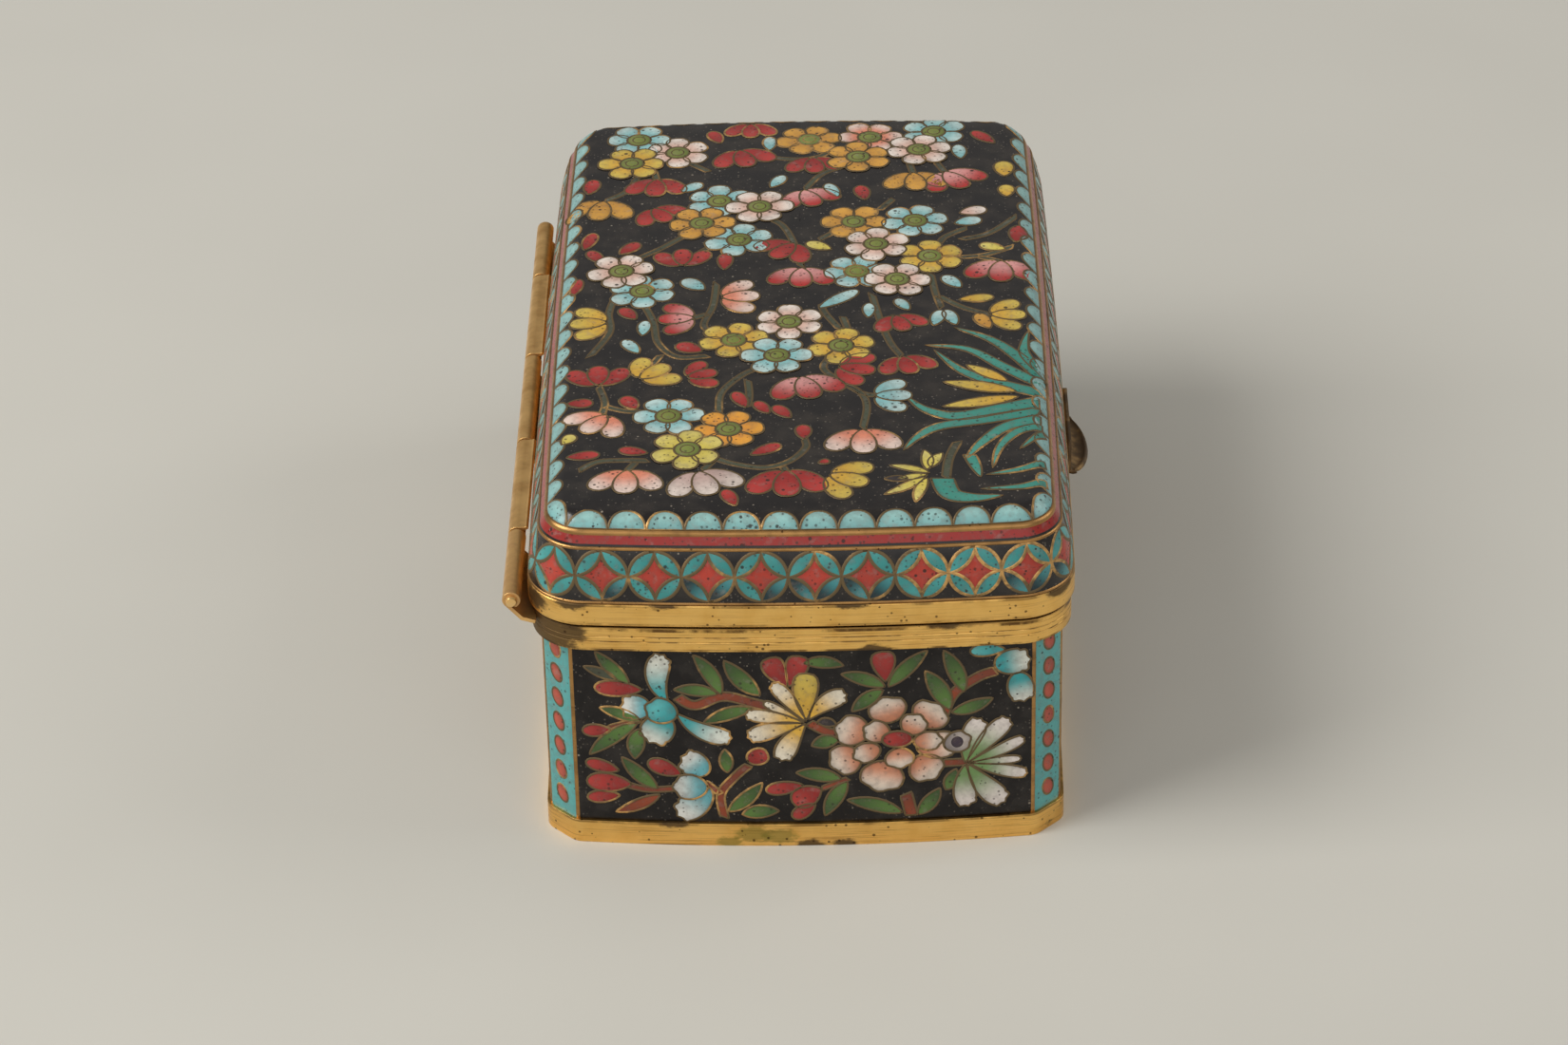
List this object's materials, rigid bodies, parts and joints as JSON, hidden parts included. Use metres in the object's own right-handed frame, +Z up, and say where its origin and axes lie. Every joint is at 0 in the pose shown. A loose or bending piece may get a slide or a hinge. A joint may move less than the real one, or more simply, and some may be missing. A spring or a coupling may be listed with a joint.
{
  "type": "cloisonne enamel box",
  "caption": "Small rectangular cloisonne enamel box with a hinged, softly crowned lid, gilt bands, flowers on a black ground and a curled thumb tongue.",
  "frame": {"origin": "centre of the underside, on the ground", "axes": "+X across the box from the hinge to the thumb tongue, +Y along the box, +Z up"},
  "size_m": [0.0586, 0.0886, 0.0379],
  "materials": {
    "gilt_brass": "worn gilding, satin, with brown stains",
    "worn_brass": "worn gilding over brass, dark in the hollows",
    "panel_enamel": "polished black enamel with flowers in many colours, brass wires and pinholes",
    "lid_enamel": "polished black enamel with flowers in many colours, brass wires and pinholes",
    "turquoise_enamel": "plain turquoise counter-enamel, slightly uneven"
  },
  "bodies": {
    "base": {"base_metal": "gilt_brass", "base_enamel": "panel_enamel", "base_lining": "turquoise_enamel", "base_underside": "turquoise_enamel", "knuckle_1": "worn_brass", "knuckle_3": "worn_brass", "knuckle_5": "worn_brass", "hinge_pin": "worn_brass"},
    "lid": {"lid_metal": "gilt_brass", "lid_enamel": "lid_enamel", "lid_lining": "turquoise_enamel", "knuckle_2": "worn_brass", "knuckle_4": "worn_brass", "thumb_tongue": "worn_brass"}
  },
  "joints": [
    {"name": "lid_hinge", "type": "hinge", "parent": "base", "child": "lid", "pos_m": [-0.02815, 0, 0.02785], "axis": [0, -1, 0], "range_deg": [0, 105]}
  ]
}
